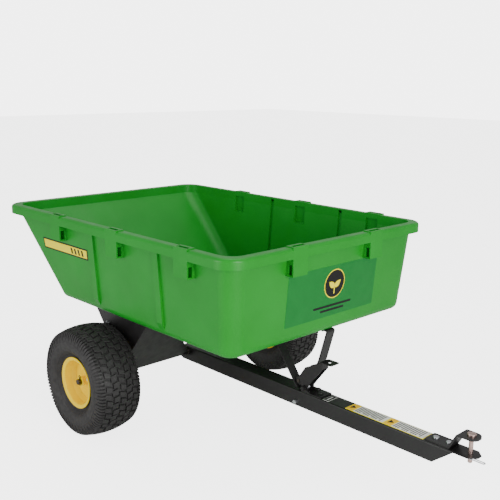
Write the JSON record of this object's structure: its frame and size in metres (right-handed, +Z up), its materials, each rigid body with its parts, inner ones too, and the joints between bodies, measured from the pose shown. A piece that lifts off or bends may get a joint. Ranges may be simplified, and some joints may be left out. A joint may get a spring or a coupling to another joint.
{
  "type": "tow behind cart",
  "caption": "Towed dump cart: plastic tub that tips back about the axle, pneumatic wheels, channel tongue with a foot latch and a pin hitch.",
  "frame": {"origin": "on the ground, below the middle of the overall box", "axes": "+X forward to the hitch, +Y to the cart's left, +Z up"},
  "size_m": [1.777, 1.045, 0.7209],
  "materials": {
    "tub_green": "satin moulded polyethylene",
    "frame_black": "satin black powder coat",
    "wheel_yellow": "gloss yellow enamel",
    "tyre_rubber": "matt black rubber",
    "valve_rubber": "matt",
    "bush_plastic": "matt nylon",
    "dark_steel": "oiled dark steel",
    "zinc_steel": "bright zinc plate"
  },
  "bodies": {
    "tongue": {"tongue": "frame_black", "hitch_bracket": "frame_black", "hitch_bolts": "zinc_steel", "hitch_nuts": "zinc_steel", "latch_stand": "frame_black", "stand_bolts": "zinc_steel", "stand_nuts": "zinc_steel", "tongue_cross_bolt": "zinc_steel", "tongue_cross_nut": "zinc_steel", "tongue_spacer_tube": "frame_black", "axle": "dark_steel", "axle_collars": "dark_steel", "axle_washers": "dark_steel", "axle_cotter_pins": "dark_steel", "latch_pivot_bolt": "zinc_steel", "latch_pivot_nut": "zinc_steel", "latch_spring": "zinc_steel"},
    "tub": {"tub": "tub_green", "wheel_support_right": "frame_black", "wheel_support_left": "frame_black", "support_gusset_right": "frame_black", "support_gusset_left": "frame_black", "support_side_bolts": "zinc_steel", "support_side_nuts": "zinc_steel", "floor_bolts": "zinc_steel", "floor_nuts": "zinc_steel", "floor_washers": "zinc_steel", "rear_strut": "frame_black", "latch_bar": "frame_black", "catch_tubes": "frame_black", "catch_pin": "dark_steel"},
    "wheel_right": {"tyre_right": "tyre_rubber", "rim_right": "wheel_yellow", "hub_bushes_right": "bush_plastic", "valve_stem_right": "valve_rubber"},
    "wheel_left": {"tyre_left": "tyre_rubber", "rim_left": "wheel_yellow", "hub_bushes_left": "bush_plastic", "valve_stem_left": "valve_rubber"},
    "latch": {"latch_lever": "frame_black", "foot_pedal": "frame_black"},
    "hitch_pin": {"hitch_pin": "zinc_steel"},
    "hair_pin": {"hair_pin": "zinc_steel"}
  },
  "joints": [
    {"name": "tub_dump", "type": "hinge", "parent": "tongue", "child": "tub", "pos_m": [-0.3335, 0, 0.1865], "axis": [0, -1, 0], "range_deg": [0, 54]},
    {"name": "wheel_spin_right", "type": "hinge", "parent": "tongue", "child": "wheel_right", "pos_m": [-0.3335, -0.44, 0.1865], "axis": [0, 1, 0], "continuous": true},
    {"name": "wheel_spin_left", "type": "hinge", "parent": "tongue", "child": "wheel_left", "pos_m": [-0.3335, 0.44, 0.1865], "axis": [0, 1, 0], "continuous": true},
    {"name": "latch_press", "type": "hinge", "parent": "tongue", "child": "latch", "pos_m": [0.25613, -0.01, 0.2165], "axis": [0, 1, 0], "range_deg": [0, 22], "stiffness_Nm_per_rad": 3, "springref_deg": -17.19},
    {"name": "hitch_pin_lift", "type": "slide", "parent": "tongue", "child": "hitch_pin", "axis": [0, 0, 1], "range_m": [0, 0.006]},
    {"name": "hair_pin_pull", "type": "slide", "parent": "hitch_pin", "child": "hair_pin", "axis": [1, 0, 0], "range_m": [0, 0.045]}
  ]
}
